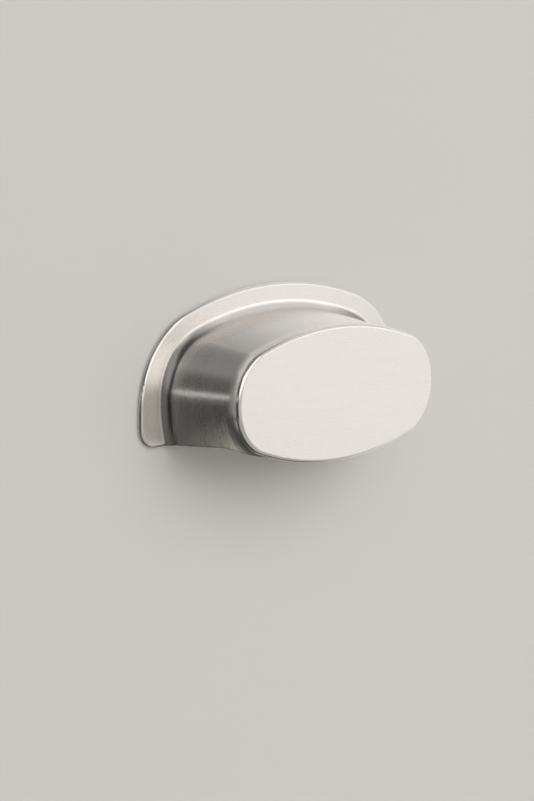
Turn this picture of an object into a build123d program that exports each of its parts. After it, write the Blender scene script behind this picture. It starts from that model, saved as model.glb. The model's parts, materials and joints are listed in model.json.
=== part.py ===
"""Cup handle for a cabinet door or drawer, cast in one piece.

The frame: the handle's back lies on the door at Y = 0 and the handle stands out towards -Y.
X runs along the handle and +Z is up. The origin is on the back, midway between the two screw
holes. "Out" is the distance from the door, so out = -Y. Heights are measured from the flat
lower edge of the handle, which lies below the origin.
"""
from build123d import *
from math import cos, radians, sin, tan
import os

# Back flange, the thin plate that lies on the door (millimetres)
flange_width = 100.4
flange_height = 36.7
flange_thickness = 1.3
flange_widest_height = 8.2
flange_corner_radius = 5.2
flange_edge_radius = 0.7

# Body, where it grows out of the flange, this far inside the flange's edge
flange_side_band = 8.0
flange_top_band = 6.0
root_widest_height = 11.2
root_depth_below = 41.0
root_fillet_radius = 2.5

# Oval front, and the neck and flare that lead into it
projection = 21.9
front_width = 76.6
front_height = 33.7
front_centre_height = 10.7
front_edge_radius = 0.9
rim_thickness = 1.1
flare_length = 3.5
flare_width = 1.0
flare_width_below = 2.85

# The flat arcs of every oval meet its rounder end arcs at this angle from upright
oval_joint_angle = 17.5

# Hollow inside, open to the door and below
wall = 2.2
front_wall = 2.4
hollow_corner_radius = 2.0
opening_edge_radius = 0.4

# Side view of the lower edge: level, then a bend and a ramp down to the finger lip
lip_thickness = 1.3
lip_ramp_length = 4.6
lip_bend_radius = 5.0

# Two posts inside, with tapped holes for the fixing screws
hole_spacing = 64.0
hole_height = 12.0
post_diameter = 8.4
post_draft_angle = 1.0
thread_drill_diameter = 3.3
thread_depth = 13.0
thread_entry_chamfer = 0.4

# Values that follow from the sizes above
root_width = flange_width - 2 * flange_side_band
root_top_height = flange_height - flange_top_band
rim_out = projection - rim_thickness
flare_start = rim_out - flare_length
lip_out = projection - lip_thickness
lip_height = front_centre_height - front_height / 2
ramp_start = lip_out - lip_ramp_length
hole_centres = ((-hole_spacing / 2, hole_height), (hole_spacing / 2, hole_height))
foot_height = -2 * root_depth_below

# How far a cut reaches past a face, how near counts as touching, and the outlines that shape
# the flare
past = 1.0
touching = 0.001
flare_outlines = 5

# The door's face, with its origin on the flat lower edge, and the middle of the side view
door = Plane(origin=(0, 0, -hole_height), x_dir=(1, 0, 0), z_dir=(0, -1, 0))
side_view = Plane(origin=(0, 0, -hole_height), x_dir=(0, -1, 0), z_dir=(-1, 0, 0))


def quarter_points(half_width, rise):
    """One quarter of an oval: where its two arcs meet, and the middle of the end arc."""
    angle = radians(oval_joint_angle)
    slope = tan(angle / 2)
    end_radius = (rise - half_width * slope) / (1 - slope)
    flat_radius = end_radius + (half_width - end_radius) / sin(angle)
    joint = (flat_radius * sin(angle), rise - flat_radius * (1 - cos(angle)))
    half_way = (angle + radians(90)) / 2
    middle = (half_width - end_radius * (1 - sin(half_way)), end_radius * cos(half_way))
    return joint, middle


def oval_face(out, half_width, centre_height, rise, depth):
    """An oval of six arcs, parallel to the door: it may be deeper below than above."""
    joint_up, middle_up = quarter_points(half_width, rise)
    joint_down, middle_down = quarter_points(half_width, depth)

    def above(side, point):
        return (side * point[0], centre_height + point[1])

    def below(side, point):
        return (side * point[0], centre_height - point[1])

    top = (0, centre_height + rise)
    bottom = (0, centre_height - depth)
    right = (half_width, centre_height)
    left = (-half_width, centre_height)
    with BuildSketch(door.offset(out)) as oval:
        with BuildLine():
            ThreePointArc(above(-1, joint_up), top, above(1, joint_up))
            ThreePointArc(above(1, joint_up), above(1, middle_up), right)
            ThreePointArc(right, below(1, middle_down), below(1, joint_down))
            ThreePointArc(below(1, joint_down), bottom, below(-1, joint_down))
            ThreePointArc(below(-1, joint_down), below(-1, middle_down), left)
            ThreePointArc(left, above(-1, middle_up), above(-1, joint_up))
        make_face()
    return oval.sketch.faces()[0]


# Each outline of the body: half width, height of the widest point, rise above it, depth below
root_rise = root_top_height - root_widest_height
neck_rise = front_height / 2 - flare_width
neck_depth = front_height / 2 - flare_width_below
root_sizes = (root_width / 2, root_widest_height, root_rise, root_depth_below)
neck_sizes = (front_width / 2 - flare_width, front_centre_height, neck_rise, neck_depth)
rim_sizes = (front_width / 2, front_centre_height, front_height / 2, front_height / 2)


def outer_face(out):
    """The body's outline this far out: a straight taper, and then the flare to the rim."""
    taper = out / rim_out
    flare = max(0.0, (out - flare_start) / flare_length) ** 2
    sizes = [
        root + taper * (neck - root) + flare * (rim - neck)
        for root, neck, rim in zip(root_sizes, neck_sizes, rim_sizes)
    ]
    return oval_face(out, *sizes)


def hollow_face(out):
    """The hollow's outline this far out: one wall inside the taper, with no flare."""
    taper = out / rim_out
    half_width, centre_height, rise, depth = (
        root + taper * (neck - root) for root, neck in zip(root_sizes, neck_sizes)
    )
    return oval_face(out, half_width - wall, centre_height, rise - wall, depth - wall)


# The hollow starts behind the door's face, so that it opens the back cleanly. The two screw
# posts stay standing in it: they widen a little towards the front, so that the core pulls out
with BuildPart() as hollow:
    loft([hollow_face(-past), hollow_face(projection - front_wall)], ruled=True)
    fillet(hollow.faces().sort_by(Axis.Y)[0].edges(), radius=hollow_corner_radius)
    with BuildSketch(door.offset(-past)):
        with Locations(*hole_centres):
            Circle(post_diameter / 2)
    extrude(amount=projection, taper=-post_draft_angle, mode=Mode.SUBTRACT)

# The space below the handle's lower edge and behind its finger lip
with BuildPart() as underside:
    with BuildSketch(side_view):
        with BuildLine():
            lower_edge = FilletPolyline(
                (-past, 0),
                (ramp_start, 0),
                (lip_out, lip_height),
                radius=lip_bend_radius,
            )
            Polyline(lower_edge @ 1, (lip_out, foot_height), (-past, foot_height), (-past, 0))
        make_face()
    extrude(amount=flange_width, both=True)

# Points of the flange's outline, whose sides run down to a foot that is cut off later
flange_joint, flange_middle = quarter_points(
    flange_width / 2, flange_height - flange_widest_height
)
shoulder = (flange_joint[0], flange_widest_height + flange_joint[1])
round_side = (flange_middle[0], flange_widest_height + flange_middle[1])
widest = (flange_width / 2, flange_widest_height)
foot = (flange_width / 2, foot_height)

with BuildPart() as cup_handle:
    # Body, flare and rim, with the edge of the oval front rounded
    loft([outer_face(0), outer_face(flare_start)], ruled=True)
    flare_step = flare_length / (flare_outlines - 1)
    loft([outer_face(flare_start + flare_step * number) for number in range(flare_outlines)])
    extrude(oval_face(rim_out, *rim_sizes), amount=rim_thickness)
    fillet(cup_handle.faces().sort_by(Axis.Y)[0].edges(), radius=front_edge_radius)

    # Flange plate, with the hollow round that joins it to the body
    with BuildSketch(door):
        with BuildLine():
            ThreePointArc((-shoulder[0], shoulder[1]), (0, flange_height), shoulder)
            ThreePointArc(shoulder, round_side, widest)
            Polyline(widest, foot, (-foot[0], foot[1]), (-widest[0], widest[1]))
            ThreePointArc(
                (-widest[0], widest[1]), (-round_side[0], round_side[1]), (-shoulder[0], shoulder[1])
            )
        make_face()
    extrude(amount=flange_thickness)
    plate_front = cup_handle.faces().filter_by(Axis.Y).sort_by(Axis.Y)[-2]
    fillet(plate_front.inner_wires()[0].edges(), radius=root_fillet_radius)

    # Open the inside, cut the lower edge and the lip, and drill the posts for the thread
    add(hollow.part, mode=Mode.SUBTRACT)
    add(underside.part, mode=Mode.SUBTRACT)
    with BuildSketch(door):
        with Locations(*hole_centres):
            Circle(thread_drill_diameter / 2)
    extrude(amount=thread_depth, mode=Mode.SUBTRACT)
    chamfer(cup_handle.edges(Select.LAST).sort_by(Axis.Y)[-2:], length=thread_entry_chamfer)

    # Round the flange's lower corners, and then its front edge
    lower_corners = [
        edge
        for edge in cup_handle.edges().filter_by(Axis.Y)
        if underside.part.distance_to(edge.center()) < touching
    ]
    fillet(lower_corners, radius=flange_corner_radius)
    plate_outline = [
        edge
        for edge in cup_handle.edges().filter_by(GeomType.CIRCLE)
        if abs(edge.center().Y + flange_thickness) < touching
    ]
    fillet(plate_outline, radius=flange_edge_radius)

    # Take the sharpness off every edge of the finger opening, which lies on the underside at
    # its middle and near its start
    middle = 0.5
    near_start = 0.2
    opening_edges = [
        edge
        for edge in cup_handle.edges()
        if underside.part.distance_to(edge @ middle) < touching
        and underside.part.distance_to(edge @ near_start) < touching
        and not (edge.geom_type == GeomType.LINE and edge.center().Y < -flange_thickness)
    ]
    fillet(opening_edges, radius=opening_edge_radius)

cup_handle.part.label = "cup_handle"

os.makedirs("parts", exist_ok=True)
export_step(cup_handle.part, "parts/cup_handle.step")
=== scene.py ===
"""Cup handle: satin nickel over a zinc casting, on a plain pale panel under soft studio light."""

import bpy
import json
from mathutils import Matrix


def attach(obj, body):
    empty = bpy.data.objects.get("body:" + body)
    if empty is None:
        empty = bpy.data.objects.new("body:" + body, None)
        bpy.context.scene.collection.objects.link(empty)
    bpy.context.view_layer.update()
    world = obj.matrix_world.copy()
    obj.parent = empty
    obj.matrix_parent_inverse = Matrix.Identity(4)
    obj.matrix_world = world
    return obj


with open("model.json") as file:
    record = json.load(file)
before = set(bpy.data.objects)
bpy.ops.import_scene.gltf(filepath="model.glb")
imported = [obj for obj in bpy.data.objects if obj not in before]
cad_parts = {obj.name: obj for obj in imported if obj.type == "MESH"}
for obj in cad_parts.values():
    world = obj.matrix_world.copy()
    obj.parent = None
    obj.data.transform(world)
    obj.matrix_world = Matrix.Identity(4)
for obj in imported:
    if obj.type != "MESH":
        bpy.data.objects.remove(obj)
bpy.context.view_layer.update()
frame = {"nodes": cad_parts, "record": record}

import json
import math

import bmesh
import bpy
from mathutils import Matrix, Vector

MM = 0.001

handle = frame["nodes"]["cup_handle"]
mounts = {mount["name"]: mount for mount in frame["record"]["mounts"]}

# The body's outline is near an oval. Where it leaves the flange and at the front, it has these
# half widths, and these reaches above and below its widest point
FRONT_OUT = 20.8 * MM
WIDEST_HEIGHT = -1.0 * MM
ROOT_OVAL = (42.2 * MM, 19.5 * MM, 41.0 * MM)
FRONT_OVAL = (37.3 * MM, 15.9 * MM, 14.0 * MM)

# Where each mask is nothing and where it is full. These four go by how far the metal faces away
# from the door: 1 is straight out and 0 is sideways
FLAT_FRONT = (0.93, 0.98)
ROUNDED_RIM = (0.2, 0.4)
OFF_THE_FLANGE = (0.995, 0.95)
OFF_THE_BODY = (0.14, 0.42)

# The first goes by how far it faces the door, and the second by how far it faces either way
FACES_DOOR = (0.35, 0.6)
FACES_EITHER_WAY = (0.5, 0.9)

# This goes by how far it faces out of the body's outline: -1 is straight into the hollow
FACES_HOLLOW = (-0.25, -0.45)

# This goes by how far out it lies: 1 is on the body's outline
NEAR_THE_BODY = (1.14, 1.09)

# Colours and finish of the metal
BRUSHED_COLOURS = ((0.79, 0.75, 0.71, 1), (0.83, 0.79, 0.75, 1))
BRUSHED_ROUGHNESS = (0.26, 0.30)
BRUSHED_SPREAD = 0.6
CAST_COLOURS = ((0.60, 0.575, 0.55, 1), (0.74, 0.715, 0.69, 1))
CAST_ROUGHNESS = (0.34, 0.46)
# Painted shade: a dark colour for the hollow round of the root at the two ends
PAINTED_CORNER_SHADE = (0.20, 0.19, 0.18, 1)
RIM_ROUGHNESS = 0.20
MOTTLE_PER_METRE, SKIN_PER_METRE = 900.0, 2600.0
MIDDLE_OF_NOISE = (0.25, 0.75)
RELIEF = 0.05 * MM
BRUSHED_RELIEF_SHARE, CAST_RELIEF_SHARE = 0.007, 0.5

# How much fine detail the noise has, and how strongly its finer steps count
NOISE_STEPS = 3.0
FINER_SHARE, STREAKS_FINER_SHARE = 0.6, 0.65


# Small helpers for materials

def new_material(name):
    """An empty material, with its nodes and links."""
    material = bpy.data.materials.new(name)
    material.use_nodes = True
    material.node_tree.nodes.clear()
    return material, material.node_tree.nodes, material.node_tree.links


def new_group(name, inputs, outputs):
    """An empty node group with named sockets, given as (name, kind of socket, default)."""
    group = bpy.data.node_groups.new(name, "ShaderNodeTree")
    for label, kind, default in inputs:
        socket = group.interface.new_socket(label, in_out="INPUT", socket_type=kind)
        if default is not None:
            socket.default_value = default
    for label, kind in outputs:
        group.interface.new_socket(label, in_out="OUTPUT", socket_type=kind)
    nodes, links = group.nodes, group.links
    return group, nodes, links, nodes.new("NodeGroupInput").outputs, nodes.new("NodeGroupOutput")


def feed(links, socket, value):
    """Link a socket into another, or set a plain value on it."""
    if isinstance(value, bpy.types.NodeSocket):
        links.new(value, socket)
    else:
        socket.default_value = value


def math_node(nodes, links, operation, *values, clamp=False):
    """A Math node on values or sockets, and its result."""
    node = nodes.new("ShaderNodeMath")
    node.operation = operation
    node.use_clamp = clamp
    for socket, value in zip(node.inputs, values):
        feed(links, socket, value)
    return node.outputs[0]


def vector_node(nodes, links, operation, *values):
    """A Vector Math node on vectors or sockets, and its vector result."""
    node = nodes.new("ShaderNodeVectorMath")
    node.operation = operation
    for socket, value in zip(node.inputs, values):
        feed(links, socket, value)
    return node.outputs["Vector"]


def split(nodes, links, vector):
    """A vector's three shares, each under the name of its axis."""
    node = nodes.new("ShaderNodeSeparateXYZ")
    links.new(vector, node.inputs["Vector"])
    return node.outputs


def dot_product(nodes, links, first, second):
    """How far one vector reaches along another."""
    node = nodes.new("ShaderNodeVectorMath")
    node.operation = "DOT_PRODUCT"
    links.new(first, node.inputs[0])
    links.new(second, node.inputs[1])
    return node.outputs["Value"]


def smooth_range(nodes, links, value, low, high, to_low=0.0, to_high=1.0):
    """A value carried smoothly from one range to another."""
    node = nodes.new("ShaderNodeMapRange")
    node.interpolation_type = "SMOOTHSTEP"
    feed(links, node.inputs["Value"], value)
    feed(links, node.inputs["From Min"], low)
    feed(links, node.inputs["From Max"], high)
    feed(links, node.inputs["To Min"], to_low)
    feed(links, node.inputs["To Max"], to_high)
    return node.outputs["Result"]


def noise(nodes, links, vector, scale, finer_share=FINER_SHARE):
    """A noise texture's value."""
    node = nodes.new("ShaderNodeTexNoise")
    feed(links, node.inputs["Vector"], vector)
    feed(links, node.inputs["Scale"], scale)
    node.inputs["Detail"].default_value = NOISE_STEPS
    node.inputs["Roughness"].default_value = finer_share
    return node.outputs["Fac"]


def mix(nodes, links, kind, factor, first, second):
    """A blend of two colours (kind RGBA), vectors (VECTOR) or values (VALUE), and its result."""
    node = nodes.new("ShaderNodeMix")
    node.data_type = "FLOAT" if kind == "VALUE" else kind
    feed(links, node.inputs["Factor"], factor)
    for label, value in (("A", first), ("B", second)):
        socket = next(s for s in node.inputs if s.name == label and s.type == kind)
        feed(links, socket, value)
    return next(s for s in node.outputs if s.type == kind)


def outline_slopes(nodes, links, position):
    """The way out of the body's oval outline at a place: its sideways and its upright share."""
    place = split(nodes, links, position)
    taper = math_node(nodes, links, "DIVIDE", place["Y"], -FRONT_OUT, clamp=True)
    reaches = [
        math_node(nodes, links, "MULTIPLY_ADD", taper, front - root, root)
        for root, front in zip(ROOT_OVAL, FRONT_OVAL)
    ]
    half_width, above, below = reaches
    height = math_node(nodes, links, "SUBTRACT", place["Z"], WIDEST_HEIGHT)
    is_above = math_node(nodes, links, "GREATER_THAN", height, 0.0)
    more_above = math_node(nodes, links, "SUBTRACT", above, below)
    half_height = math_node(nodes, links, "MULTIPLY_ADD", is_above, more_above, below)
    slopes = nodes.new("ShaderNodeCombineXYZ")
    for label, length, reach in (("X", place["X"], half_width), ("Z", height, half_height)):
        share = math_node(nodes, links, "DIVIDE", length, reach)
        feed(links, slopes.inputs[label], math_node(nodes, links, "DIVIDE", share, reach))
    return slopes.outputs["Vector"]


def outline_reach(nodes, links, position, slopes):
    """How far out a place lies from the middle of the oval: 1 is on the body's outline."""
    from_middle = vector_node(nodes, links, "SUBTRACT", position, (0.0, 0.0, WIDEST_HEIGHT))
    squared = dot_product(nodes, links, from_middle, slopes)
    return math_node(nodes, links, "SQRT", squared)


# Shared effects

def front_mask():
    """One on the flat oval front, and another mask for the rounded rim round it."""
    group, nodes, links, inputs, outside = new_group(
        "front_mask",
        [
            ("Position", "NodeSocketVector", None),
            ("Normal", "NodeSocketVector", None),
            ("Least Distance Out", "NodeSocketFloat", 15 * MM),
            ("Rim Starts Out", "NodeSocketFloat", 20.9 * MM),
        ],
        [("Front", "NodeSocketFloat"), ("Rim", "NodeSocketFloat")],
    )
    facing = split(nodes, links, inputs["Normal"])
    place = split(nodes, links, inputs["Position"])
    outward = math_node(nodes, links, "MULTIPLY", facing["Y"], -1.0)
    flat = smooth_range(nodes, links, outward, *FLAT_FRONT)
    out = math_node(nodes, links, "MULTIPLY", place["Y"], -1.0)
    far = math_node(nodes, links, "GREATER_THAN", out, inputs["Least Distance Out"])
    result = math_node(nodes, links, "MULTIPLY", flat, far)
    links.new(result, outside.inputs["Front"])
    turned = smooth_range(nodes, links, outward, *reversed(FLAT_FRONT))
    outermost = math_node(nodes, links, "GREATER_THAN", out, inputs["Rim Starts Out"])
    toward_front = smooth_range(nodes, links, outward, *ROUNDED_RIM)
    rim = math_node(nodes, links, "MULTIPLY", turned, outermost)
    links.new(math_node(nodes, links, "MULTIPLY", rim, toward_front), outside.inputs["Rim"])
    return group


def inside_mask():
    """One inside the hollow, on the posts and on the back, and nothing on the brushed outside."""
    group, nodes, links, inputs, outside = new_group(
        "inside_mask",
        [
            ("Position", "NodeSocketVector", None),
            ("Normal", "NodeSocketVector", None),
            ("Post Offset", "NodeSocketFloat", 32 * MM),
            ("Post Reach", "NodeSocketFloat", 5 * MM),
            ("Post Front", "NodeSocketFloat", -19 * MM),
        ],
        [("Inside", "NodeSocketFloat")],
    )
    place = split(nodes, links, inputs["Position"])
    facing = split(nodes, links, inputs["Normal"])
    slopes = outline_slopes(nodes, links, inputs["Position"])
    straight = vector_node(nodes, links, "NORMALIZE", slopes)
    out_of_outline = dot_product(nodes, links, straight, inputs["Normal"])
    walls = smooth_range(nodes, links, out_of_outline, *FACES_HOLLOW)
    to_door = smooth_range(nodes, links, facing["Y"], *FACES_DOOR)
    sideways = math_node(nodes, links, "ABSOLUTE", place["X"])
    post_side = math_node(nodes, links, "SUBTRACT", sideways, inputs["Post Offset"])
    post_side_squared = math_node(nodes, links, "MULTIPLY", post_side, post_side)
    post_height_squared = math_node(nodes, links, "MULTIPLY", place["Z"], place["Z"])
    post_sum = math_node(nodes, links, "ADD", post_side_squared, post_height_squared)
    post_distance = math_node(nodes, links, "SQRT", post_sum)
    near_post = math_node(nodes, links, "LESS_THAN", post_distance, inputs["Post Reach"])
    shallow = math_node(nodes, links, "GREATER_THAN", place["Y"], inputs["Post Front"])
    post = math_node(nodes, links, "MULTIPLY", near_post, shallow)
    hidden = math_node(nodes, links, "MAXIMUM", walls, to_door)
    result = math_node(nodes, links, "MAXIMUM", hidden, post)
    links.new(result, outside.inputs["Inside"])
    return group


def brushed_grain():
    """Fine lines that run along the flat front, and round the outline on the sides and flange."""
    group, nodes, links, inputs, outside = new_group(
        "brushed_grain",
        [
            ("Position", "NodeSocketVector", None),
            ("Normal", "NodeSocketVector", None),
            ("Front", "NodeSocketFloat", 0.0),
            ("Lines Per Metre", "NodeSocketFloat", 5200.0),
            ("Stretch", "NodeSocketFloat", 0.013),
            ("Streak Share", "NodeSocketFloat", 0.25),
        ],
        [("Lines", "NodeSocketFloat"), ("Streaks", "NodeSocketFloat")],
    )
    place = split(nodes, links, inputs["Position"])
    facing = split(nodes, links, inputs["Normal"])
    slopes = outline_slopes(nodes, links, inputs["Position"])
    round_way = vector_node(nodes, links, "NORMALIZE", slopes)
    round_stretch = math_node(nodes, links, "MULTIPLY", inputs["Stretch"], ROOT_OVAL[0])
    around = nodes.new("ShaderNodeVectorMath")
    around.operation = "SCALE"
    links.new(round_way, around.inputs[0])
    links.new(round_stretch, around.inputs["Scale"])
    reach = outline_reach(nodes, links, inputs["Position"], slopes)
    out_from_middle = math_node(nodes, links, "MULTIPLY", reach, ROOT_OVAL[1])
    flatness = math_node(nodes, links, "ABSOLUTE", facing["Y"])
    flat = smooth_range(nodes, links, flatness, *FACES_EITHER_WAY)
    spread = math_node(nodes, links, "MULTIPLY", out_from_middle, flat)
    depth = math_node(nodes, links, "ADD", spread, place["Y"])
    step = nodes.new("ShaderNodeCombineXYZ")
    feed(links, step.inputs["Y"], depth)
    round_place = vector_node(nodes, links, "ADD", around.outputs["Vector"], step.outputs["Vector"])
    front_place = nodes.new("ShaderNodeCombineXYZ")
    shortened = math_node(nodes, links, "MULTIPLY", place["X"], inputs["Stretch"])
    feed(links, front_place.inputs["X"], shortened)
    feed(links, front_place.inputs["Z"], place["Z"])
    straight_place = front_place.outputs["Vector"]
    along = mix(nodes, links, "VECTOR", inputs["Front"], round_place, straight_place)
    lines = noise(nodes, links, along, inputs["Lines Per Metre"])
    links.new(lines, outside.inputs["Lines"])
    streak_scale = math_node(
        nodes, links, "MULTIPLY", inputs["Lines Per Metre"], inputs["Streak Share"]
    )
    streaks = noise(nodes, links, along, streak_scale, STREAKS_FINER_SHARE)
    links.new(streaks, outside.inputs["Streaks"])
    return group


def root_corner_shade_mask():
    """One in the hollow round of the root at the two ends, where the colour is darkened as painted
    shade.
    """
    group, nodes, links, inputs, outside = new_group(
        "root_corner_shade_mask",
        [
            ("Position", "NodeSocketVector", None),
            ("Normal", "NodeSocketVector", None),
            ("Corner Top", "NodeSocketFloat", 4.4 * MM),
            ("Top Fade", "NodeSocketFloat", 1.2 * MM),
            ("From Middle", "NodeSocketFloat", 19 * MM),
            ("To End", "NodeSocketFloat", 37 * MM),
        ],
        [("Corner", "NodeSocketFloat")],
    )
    place = split(nodes, links, inputs["Position"])
    facing = split(nodes, links, inputs["Normal"])
    out = math_node(nodes, links, "MULTIPLY", place["Y"], -1.0)
    above = math_node(nodes, links, "SUBTRACT", inputs["Corner Top"], out)
    low = smooth_range(nodes, links, above, 0.0, inputs["Top Fade"])
    outward = math_node(nodes, links, "MULTIPLY", facing["Y"], -1.0)
    turned = smooth_range(nodes, links, outward, *OFF_THE_FLANGE)
    slopes = outline_slopes(nodes, links, inputs["Position"])
    reach = outline_reach(nodes, links, inputs["Position"], slopes)
    near_body = smooth_range(nodes, links, reach, *NEAR_THE_BODY)
    sideways = math_node(nodes, links, "ABSOLUTE", place["X"])
    end = smooth_range(nodes, links, sideways, inputs["From Middle"], inputs["To End"])
    toward_front = smooth_range(nodes, links, outward, *OFF_THE_BODY)
    result = math_node(nodes, links, "MULTIPLY", low, turned)
    for share in (toward_front, near_body, end):
        result = math_node(nodes, links, "MULTIPLY", result, share)
    links.new(result, outside.inputs["Corner"])
    return group


FRONT_MASK = front_mask()
ROOT_CORNER_SHADE_MASK = root_corner_shade_mask()
INSIDE_MASK = inside_mask()
BRUSHED_GRAIN = brushed_grain()


def use_group(nodes, links, group, **values):
    """Place a shared effect, with its named inputs set or linked."""
    node = nodes.new("ShaderNodeGroup")
    node.node_tree = group
    for label, value in values.items():
        feed(links, node.inputs[label.replace("_", " ")], value)
    return node.outputs


def grain_tangent(nodes, links, position, normal, front):
    """The direction across the brushing: the highlight spreads that way."""
    slopes = outline_slopes(nodes, links, position)
    to_door = nodes.new("ShaderNodeCombineXYZ")
    to_door.inputs["Y"].default_value = 1.0
    round_outline = vector_node(nodes, links, "CROSS_PRODUCT", slopes, to_door.outputs["Vector"])
    outline_way = vector_node(nodes, links, "NORMALIZE", round_outline)
    groove = mix(nodes, links, "VECTOR", front, outline_way, (1.0, 0.0, 0.0))
    return vector_node(nodes, links, "CROSS_PRODUCT", normal, groove)


def satin_nickel():
    """Warm satin nickel plating: brushed outside, and plainer over the cast skin inside."""
    material, nodes, links = new_material("satin_nickel")
    place = nodes.new("ShaderNodeTexCoord").outputs["Object"]
    normal = nodes.new("ShaderNodeNewGeometry").outputs["Normal"]
    front_masks = use_group(nodes, links, FRONT_MASK, Position=place, Normal=normal)
    front, rim = front_masks["Front"], front_masks["Rim"]
    inside = use_group(nodes, links, INSIDE_MASK, Position=place, Normal=normal)["Inside"]
    grain = use_group(nodes, links, BRUSHED_GRAIN, Position=place, Normal=normal, Front=front)

    brushed = mix(nodes, links, "RGBA", grain["Streaks"], *BRUSHED_COLOURS)
    cast_mottle = noise(nodes, links, place, MOTTLE_PER_METRE)
    cast = mix(nodes, links, "RGBA", cast_mottle, *CAST_COLOURS)
    # Painted shade: the hollow round of the root at the two ends is darkened towards a dark colour
    painted_corner_shade = use_group(nodes, links, ROOT_CORNER_SHADE_MASK, Position=place, Normal=normal)["Corner"]
    brushed_with_painted_shade = mix(nodes, links, "RGBA", painted_corner_shade, brushed, PAINTED_CORNER_SHADE)
    colour = mix(nodes, links, "RGBA", inside, brushed_with_painted_shade, cast)

    brushed_rough = smooth_range(
        nodes, links, grain["Streaks"], *MIDDLE_OF_NOISE, *BRUSHED_ROUGHNESS
    )
    cast_rough = smooth_range(nodes, links, cast_mottle, *MIDDLE_OF_NOISE, *CAST_ROUGHNESS)
    outside_rough = mix(nodes, links, "VALUE", rim, brushed_rough, RIM_ROUGHNESS)
    rough = mix(nodes, links, "VALUE", inside, outside_rough, cast_rough)

    cast_skin = noise(nodes, links, place, SKIN_PER_METRE)
    cast_height = math_node(nodes, links, "MULTIPLY", cast_skin, inside)
    cast_bump = nodes.new("ShaderNodeBump")
    cast_bump.inputs["Strength"].default_value = CAST_RELIEF_SHARE
    cast_bump.inputs["Distance"].default_value = RELIEF
    links.new(cast_height, cast_bump.inputs["Height"])
    bump = nodes.new("ShaderNodeBump")
    bump.inputs["Strength"].default_value = BRUSHED_RELIEF_SHARE
    bump.inputs["Distance"].default_value = RELIEF
    links.new(grain["Lines"], bump.inputs["Height"])
    links.new(cast_bump.outputs["Normal"], bump.inputs["Normal"])

    metal = nodes.new("ShaderNodeBsdfPrincipled")
    metal.inputs["Metallic"].default_value = 1.0
    metal.inputs["Anisotropic"].default_value = BRUSHED_SPREAD
    links.new(colour, metal.inputs["Base Color"])
    links.new(rough, metal.inputs["Roughness"])
    links.new(bump.outputs["Normal"], metal.inputs["Normal"])
    links.new(grain_tangent(nodes, links, place, normal, front), metal.inputs["Tangent"])
    output = nodes.new("ShaderNodeOutputMaterial")
    links.new(metal.outputs["BSDF"], output.inputs["Surface"])
    return material


SATIN_NICKEL = satin_nickel()
for slot in handle.material_slots:
    slot.material = SATIN_NICKEL


# Screw thread in the two tapped holes

THREAD_PITCH = 0.7 * MM
THREAD_STARTS, THREAD_ENDS = -0.7 * MM, -12.4 * MM
THREAD_SECTIONS = 20
THREAD_WALL, THREAD_CREST = 1.70 * MM, 1.44 * MM
WALL_HALF_WIDTH, CREST_HALF_WIDTH = 0.30 * MM, 0.05 * MM


def thread_ridge(name, centre):
    """The thread's ridge: a thin wedge wound round the wall of a hole, closed at both ends."""
    wedge = (
        (THREAD_WALL, -WALL_HALF_WIDTH),
        (THREAD_CREST, -CREST_HALF_WIDTH),
        (THREAD_CREST, CREST_HALF_WIDTH),
        (THREAD_WALL, WALL_HALF_WIDTH),
    )
    turns = (THREAD_STARTS - THREAD_ENDS) / THREAD_PITCH
    count = round(turns * THREAD_SECTIONS)
    points = []
    for number in range(count + 1):
        angle = 2 * math.pi * number / THREAD_SECTIONS
        depth = THREAD_STARTS - THREAD_PITCH * number / THREAD_SECTIONS
        for radius, along in wedge:
            points.append((
                centre[0] + radius * math.cos(angle),
                depth + along,
                centre[2] + radius * math.sin(angle),
            ))
    corners = len(wedge)
    faces = [tuple(range(corners)), tuple(corners * count + k for k in reversed(range(corners)))]
    for number in range(count):
        here, after = corners * number, corners * (number + 1)
        for k in range(corners):
            turn = (k + 1) % corners
            faces.append((here + k, after + k, after + turn, here + turn))
    mesh = bpy.data.meshes.new(name)
    mesh.from_pydata(points, [], faces)
    ridge = bpy.data.objects.new(name, mesh)
    bpy.context.scene.collection.objects.link(ridge)
    mesh.materials.append(SATIN_NICKEL)
    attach(ridge, "root")


for side in ("left", "right"):
    thread_ridge(side + "_thread", mounts[side + "_hole"]["pos_m"])


# Stage: a plain pale panel behind the handle, a plain pale floor well below it, and a plain pale
# ball round the whole studio. Lengths are in metres

PANEL_COLOUR = (0.68, 0.655, 0.625, 1)
BACKDROP_COLOUR = (0.12, 0.115, 0.11, 1)
BACKDROP_GLOW = (0.56, 0.54, 0.515, 1)
MATT_ROUGHNESS = 0.9
WIDE = 1.6
FLOOR = -0.9
BEHIND = 0.1 * MM
BACKDROP_RADIUS = 4.0
BACKDROP_SEGMENTS = 64


def matt_paint(name, colour):
    """Matt paint of one colour, with its paint and output nodes."""
    material, nodes, links = new_material(name)
    paint = nodes.new("ShaderNodeBsdfPrincipled")
    paint.inputs["Base Color"].default_value = colour
    paint.inputs["Roughness"].default_value = MATT_ROUGHNESS
    output = nodes.new("ShaderNodeOutputMaterial")
    links.new(paint.outputs["BSDF"], output.inputs["Surface"])
    return material, paint, output


def pale_stage():
    """Pale paint, seen only from its front, so that it never hides the handle's back."""
    material, paint, output = matt_paint("pale_stage", PANEL_COLOUR)
    nodes, links = material.node_tree.nodes, material.node_tree.links
    clear = nodes.new("ShaderNodeBsdfTransparent")
    side = nodes.new("ShaderNodeNewGeometry")
    choice = nodes.new("ShaderNodeMixShader")
    links.new(side.outputs["Backfacing"], choice.inputs["Fac"])
    links.new(paint.outputs["BSDF"], choice.inputs[1])
    links.new(clear.outputs["BSDF"], choice.inputs[2])
    links.new(choice.outputs["Shader"], output.inputs["Surface"])
    return material


PALE_STAGE = pale_stage()


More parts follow.
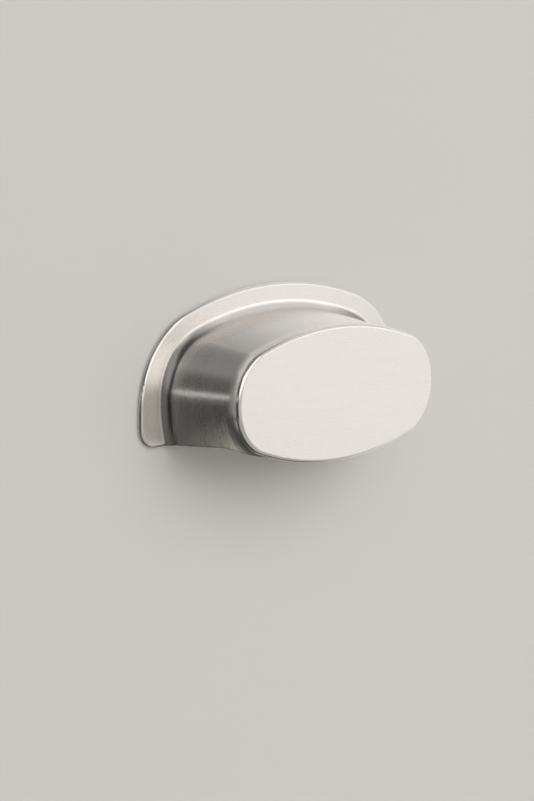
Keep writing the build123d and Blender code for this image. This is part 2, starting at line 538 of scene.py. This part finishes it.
def flat_sheet(name, corners):
    """One flat four-cornered stage piece. Its corners run anticlockwise as seen from its front."""
    mesh = bpy.data.meshes.new(name)
    mesh.from_pydata(corners, [], [(0, 1, 2, 3)])
    sheet = bpy.data.objects.new(name, mesh)
    bpy.context.scene.collection.objects.link(sheet)
    mesh.materials.append(PALE_STAGE)
    return sheet


panel = flat_sheet(
    "panel",
    [(-WIDE, BEHIND, FLOOR), (WIDE, BEHIND, FLOOR), (WIDE, BEHIND, WIDE), (-WIDE, BEHIND, WIDE)],
)
panel.visible_glossy = False
flat_sheet(
    "floor",
    [(-WIDE, -WIDE, FLOOR), (WIDE, -WIDE, FLOOR), (WIDE, BEHIND, FLOOR), (-WIDE, BEHIND, FLOOR)],
)


def pale_backdrop():
    """An even pale tone, which hardly changes with the light on it."""
    material, paint, _ = matt_paint("pale_backdrop", BACKDROP_COLOUR)
    paint.inputs["Emission Color"].default_value = BACKDROP_GLOW
    paint.inputs["Emission Strength"].default_value = 1.0
    return material


def backdrop():
    """A large pale ball round the whole studio, which only the camera sees."""
    shell = bmesh.new()
    bmesh.ops.create_uvsphere(
        shell,
        u_segments=BACKDROP_SEGMENTS,
        v_segments=BACKDROP_SEGMENTS // 2,
        radius=BACKDROP_RADIUS,
    )
    bmesh.ops.reverse_faces(shell, faces=shell.faces)
    for face in shell.faces:
        face.smooth = True
    mesh = bpy.data.meshes.new("backdrop")
    shell.to_mesh(mesh)
    shell.free()
    mesh.materials.append(pale_backdrop())
    ball = bpy.data.objects.new("backdrop", mesh)
    bpy.context.scene.collection.objects.link(ball)
    ball.visible_diffuse = False
    ball.visible_glossy = False
    ball.visible_shadow = False


backdrop()


# Light: a plain studio of large soft windows, brightest above in front, bright on the right, and
# dim on the left apart from one narrow strip

BASE_LIGHT = 0.07
HALF_TURN = 180.0


class Window:
    """A soft window of light. Angles are in degrees: an azimuth of 0 is straight out from the
    door and 90 is to the right. Its sides, its lower and its upper edge fade over the three
    widths given as soft."""

    def __init__(self, azimuth, elevation, soft, strength):
        self.azimuth = azimuth
        self.elevation = elevation
        self.side_soft, self.low_soft, self.high_soft = soft
        self.strength = strength


WINDOWS = {
    "key": Window((41, 112), (-38, 54), (8, 14, 26), 0.85),
    "key_low": Window((41, 112), (-38, 20), (8, 14, 14), 0.26),
    "rim_light": Window((40, 60), (2, 13), (6, 6, 6), 1.05),
    "behind_right": Window((108, 196), (-30, 44), (14, 14, 36), 0.94),
    "front_left": Window((-54, 38), (-27, 12), (10, 12, 10), 0.62),
    "front_upper": Window((-64, 38), (10, 53), (14, 14, 12), 1.60),
    "left_strip": Window((-127, -83), (6, 11.5), (4.5, 4.5, 4.5), 1.12),
    "left": Window((-115, -83), (-8, 60), (10, 10, 20), 0.02),
    "behind_left": Window((-170, -124), (-20, 48), (8, 8, 10), 0.18),
    "top": Window((-180, 180), (46, 90), (1, 16, 1), 0.20),
}


def soft_window():
    """One soft-edged window of light, as a mask over the sky."""
    group, nodes, links, inputs, outside = new_group(
        "soft_window",
        [
            ("Azimuth", "NodeSocketFloat", 0.0),
            ("Elevation", "NodeSocketFloat", 0.0),
            ("Middle", "NodeSocketFloat", 0.0),
            ("Half Width", "NodeSocketFloat", 45.0),
            ("Side Soft", "NodeSocketFloat", 10.0),
            ("Lowest", "NodeSocketFloat", 0.0),
            ("Low Soft", "NodeSocketFloat", 10.0),
            ("Highest", "NodeSocketFloat", 45.0),
            ("High Soft", "NodeSocketFloat", 10.0),
        ],
        [("Light", "NodeSocketFloat")],
    )
    away = math_node(nodes, links, "SUBTRACT", inputs["Azimuth"], inputs["Middle"])
    wrapped = math_node(nodes, links, "WRAP", away, HALF_TURN, -HALF_TURN)
    sideways = math_node(nodes, links, "ABSOLUTE", wrapped)

    def edge(value, limit, soft, inner_side):
        inner = math_node(nodes, links, "MULTIPLY_ADD", soft, inner_side / 2, limit)
        outer = math_node(nodes, links, "MULTIPLY_ADD", soft, -inner_side / 2, limit)
        return smooth_range(nodes, links, value, outer, inner)

    side = edge(sideways, inputs["Half Width"], inputs["Side Soft"], -1)
    low = edge(inputs["Elevation"], inputs["Lowest"], inputs["Low Soft"], 1)
    high = edge(inputs["Elevation"], inputs["Highest"], inputs["High Soft"], -1)
    band = math_node(nodes, links, "MULTIPLY", low, high)
    result = math_node(nodes, links, "MULTIPLY", band, side)
    links.new(result, outside.inputs["Light"])
    return group


def surround():
    """The studio all round the handle."""
    world = bpy.data.worlds.new("studio")
    bpy.context.scene.world = world
    world.use_nodes = True
    nodes, links = world.node_tree.nodes, world.node_tree.links
    nodes.clear()
    window_group = soft_window()
    way = split(nodes, links, nodes.new("ShaderNodeTexCoord").outputs["Generated"])
    to_door = math_node(nodes, links, "MULTIPLY", way["Y"], -1.0)
    turn = math_node(nodes, links, "ARCTAN2", way["X"], to_door)
    azimuth = math_node(nodes, links, "DEGREES", turn)
    rise = math_node(nodes, links, "ARCSINE", way["Z"])
    elevation = math_node(nodes, links, "DEGREES", rise)
    light = BASE_LIGHT
    for window in WINDOWS.values():
        left_edge, right_edge = window.azimuth
        mask = use_group(
            nodes, links, window_group, Azimuth=azimuth, Elevation=elevation,
            Middle=(left_edge + right_edge) / 2, Half_Width=(right_edge - left_edge) / 2,
            Side_Soft=window.side_soft, Lowest=window.elevation[0], Low_Soft=window.low_soft,
            Highest=window.elevation[1], High_Soft=window.high_soft,
        )["Light"]
        light = math_node(nodes, links, "MULTIPLY_ADD", mask, window.strength, light)
    sky = nodes.new("ShaderNodeBackground")
    links.new(light, sky.inputs["Strength"])
    output = nodes.new("ShaderNodeOutputWorld")
    links.new(sky.outputs["Background"], output.inputs["Surface"])


surround()


# Lamp for the stage: its size and distance in metres, and its power in watts

LAMP_SIZE = 1.2
LAMP_POWER = 4.6
LAMP_DISTANCE = 1.5
LAMP_AZIMUTH, LAMP_ELEVATION = math.radians(18), math.radians(24)


def away_from_handle(azimuth, elevation):
    """The way from the handle to a place at these angles, of length 1."""
    return Vector((
        math.sin(azimuth) * math.cos(elevation),
        -math.cos(azimuth) * math.cos(elevation),
        math.sin(elevation),
    ))


def stage_lamp():
    """One large soft lamp for the matt panel and floor, which the metal doesn't reflect."""
    light = bpy.data.lights.new("stage_lamp", "AREA")
    light.shape = "SQUARE"
    light.size = LAMP_SIZE
    light.energy = LAMP_POWER
    lamp = bpy.data.objects.new("stage_lamp", light)
    bpy.context.scene.collection.objects.link(lamp)
    outward = away_from_handle(LAMP_AZIMUTH, LAMP_ELEVATION)
    lamp.location = LAMP_DISTANCE * outward
    lamp.rotation_mode = "QUATERNION"
    lamp.rotation_quaternion = (-outward).to_track_quat("-Z", "Y")
    lamp.visible_glossy = False
    lamp.visible_camera = False


stage_lamp()


# Camera at the photograph's angle, with its lens in millimetres and its place in metres

VIEW_AZIMUTH, VIEW_ELEVATION = math.radians(-50.571), math.radians(7.0)
VIEW_PLACE = (-0.8144, -0.6687, 0.1245)
SENSOR_WIDTH = 36.0
LENS = 191.0
NEAREST_SEEN, FARTHEST_SEEN = 0.01, 20.0


def camera():
    """The view from the left front, a little above the handle."""
    view = bpy.data.cameras.new("camera")
    view.sensor_width = SENSOR_WIDTH
    view.lens = LENS
    view.clip_start, view.clip_end = NEAREST_SEEN, FARTHEST_SEEN
    body = bpy.data.objects.new("camera", view)
    bpy.context.scene.collection.objects.link(body)
    right = Vector((math.cos(VIEW_AZIMUTH), math.sin(VIEW_AZIMUTH), 0.0))
    back = away_from_handle(VIEW_AZIMUTH, VIEW_ELEVATION)
    up = back.cross(right)
    axes = Matrix((right, up, back)).transposed().to_4x4()
    axes.translation = VIEW_PLACE
    body.matrix_world = axes
    bpy.context.scene.camera = body


camera()

bpy.context.scene.view_settings.view_transform = "Standard"
